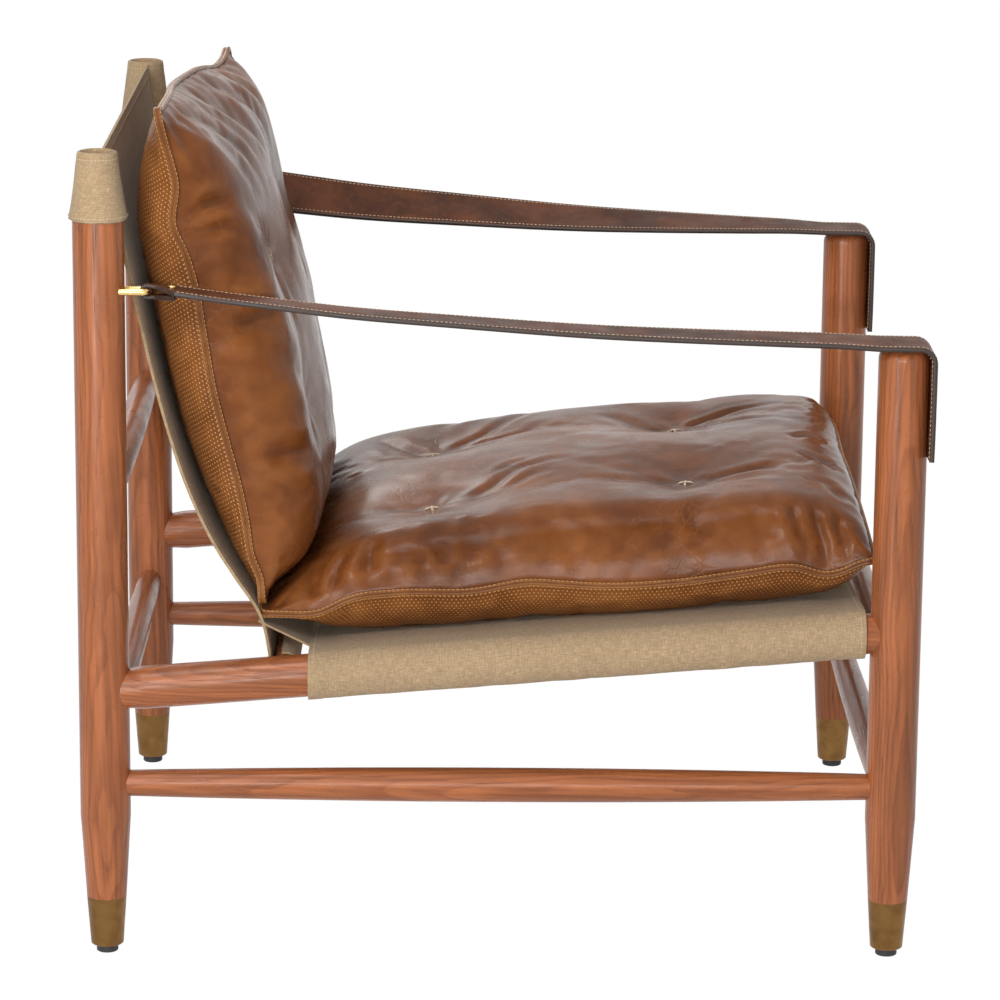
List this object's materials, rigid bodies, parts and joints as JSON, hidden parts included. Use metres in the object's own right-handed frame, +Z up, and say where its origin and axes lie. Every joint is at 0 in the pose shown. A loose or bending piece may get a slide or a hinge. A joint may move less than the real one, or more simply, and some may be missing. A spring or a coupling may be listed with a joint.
{
  "type": "safari lounge chair",
  "caption": "Low lounge armchair: round hardwood frame, canvas sling, two loose tufted leather cushions and leather strap arms.",
  "frame": {"origin": "on the floor, at the centre of the chair's outline seen from above", "axes": "+Z up, the sitter faces -Y, +X is the sitter's left"},
  "size_m": [0.6704, 0.794, 0.7938],
  "materials": {
    "turned_wood": "oiled reddish-brown hardwood, satin, cathedral and straight grain",
    "canvas": "heavy plain-woven olive-tan cotton canvas, matt",
    "cushion_leather": "glossy waxed brandy-brown hide, mottled",
    "strap_leather": "thick dark brown saddle leather, satin",
    "antique_brass": "dull aged brass",
    "bright_brass": "polished brass",
    "steel": "zinc-plated steel",
    "black_plastic": "moulded, fine matt texture",
    "foam": "soft foam in a padded wrap",
    "thread": "waxed tan thread"
  },
  "bodies": {
    "frame": {"rear_post_right": "turned_wood", "rear_post_left": "turned_wood", "front_leg_right": "turned_wood", "front_leg_left": "turned_wood", "side_rail_right": "turned_wood", "side_rail_left": "turned_wood", "side_stretcher_right": "turned_wood", "side_stretcher_left": "turned_wood", "back_cross_rail": "turned_wood", "rear_seat_rail": "turned_wood", "front_seat_rail": "turned_wood", "front_stretcher": "turned_wood", "sling_batten": "turned_wood", "ferrule_rear_right": "antique_brass", "ferrule_rear_left": "antique_brass", "ferrule_front_right": "antique_brass", "ferrule_front_left": "antique_brass", "threaded_inserts": "steel", "arm_strap_right": "strap_leather", "arm_strap_left": "strap_leather", "strap_staple_right": "bright_brass", "strap_staple_left": "bright_brass", "strap_rivets": "bright_brass", "strap_screws": "antique_brass", "canvas_back_panel": "canvas", "canvas_seat_panel": "canvas", "canvas_gusset": "canvas", "post_pocket_right": "canvas", "post_pocket_left": "canvas"},
    "seat_cushion": {"seat_top_panel": "cushion_leather", "seat_perforated_band": "cushion_leather", "seat_bottom_panel": "cushion_leather", "seat_foam_core": "foam", "seat_seam_welt": "cushion_leather", "seat_tuft_ties": "thread"},
    "back_cushion": {"back_top_panel": "cushion_leather", "back_perforated_band": "cushion_leather", "back_bottom_panel": "cushion_leather", "back_foam_core": "foam", "back_seam_welt": "cushion_leather", "back_tuft_ties": "thread"},
    "glide_stem_rear_right_body": {"glide_stem_rear_right": "steel"},
    "glide_pad_rear_right_body": {"glide_pad_rear_right": "black_plastic"},
    "glide_stem_rear_left_body": {"glide_stem_rear_left": "steel"},
    "glide_pad_rear_left_body": {"glide_pad_rear_left": "black_plastic"},
    "glide_stem_front_right_body": {"glide_stem_front_right": "steel"},
    "glide_pad_front_right_body": {"glide_pad_front_right": "black_plastic"},
    "glide_stem_front_left_body": {"glide_stem_front_left": "steel"},
    "glide_pad_front_left_body": {"glide_pad_front_left": "black_plastic"}
  },
  "joints": [
    {"name": "seat_cushion_lift", "type": "slide", "parent": "frame", "child": "seat_cushion", "axis": [0, -0.866, 0.5], "range_m": [0, 0.25]},
    {"name": "back_cushion_lift", "type": "slide", "parent": "frame", "child": "back_cushion", "axis": [0, 0, 1], "range_m": [0, 0.3]},
    {"name": "glide_travel_rear_right", "type": "slide", "parent": "frame", "child": "glide_stem_rear_right_body", "axis": [0, 0, -1], "range_m": [0, 0.0101]},
    {"name": "glide_turn_rear_right", "type": "hinge", "parent": "glide_stem_rear_right_body", "child": "glide_pad_rear_right_body", "pos_m": [-0.306, 0.3687, 0.003], "axis": [0, 0, 1], "range_deg": [0, 2880]},
    {"name": "glide_travel_rear_left", "type": "slide", "parent": "frame", "child": "glide_stem_rear_left_body", "axis": [0, 0, -1], "range_m": [0, 0.0101]},
    {"name": "glide_turn_rear_left", "type": "hinge", "parent": "glide_stem_rear_left_body", "child": "glide_pad_rear_left_body", "pos_m": [0.306, 0.3687, 0.003], "axis": [0, 0, 1], "range_deg": [0, 2880]},
    {"name": "glide_travel_front_right", "type": "slide", "parent": "frame", "child": "glide_stem_front_right_body", "axis": [0, 0, -1], "range_m": [0, 0.0101]},
    {"name": "glide_turn_front_right", "type": "hinge", "parent": "glide_stem_front_right_body", "child": "glide_pad_front_right_body", "pos_m": [-0.306, -0.3663, 0.003], "axis": [0, 0, 1], "range_deg": [0, 2880]},
    {"name": "glide_travel_front_left", "type": "slide", "parent": "frame", "child": "glide_stem_front_left_body", "axis": [0, 0, -1], "range_m": [0, 0.0101]},
    {"name": "glide_turn_front_left", "type": "hinge", "parent": "glide_stem_front_left_body", "child": "glide_pad_front_left_body", "pos_m": [0.306, -0.3663, 0.003], "axis": [0, 0, 1], "range_deg": [0, 2880]}
  ],
  "couplings": [
    {"joint": "glide_travel_rear_right", "follows": "glide_turn_rear_right", "m_per_rad": 0.00019894},
    {"joint": "glide_travel_rear_left", "follows": "glide_turn_rear_left", "m_per_rad": 0.00019894},
    {"joint": "glide_travel_front_right", "follows": "glide_turn_front_right", "m_per_rad": 0.00019894},
    {"joint": "glide_travel_front_left", "follows": "glide_turn_front_left", "m_per_rad": 0.00019894}
  ]
}
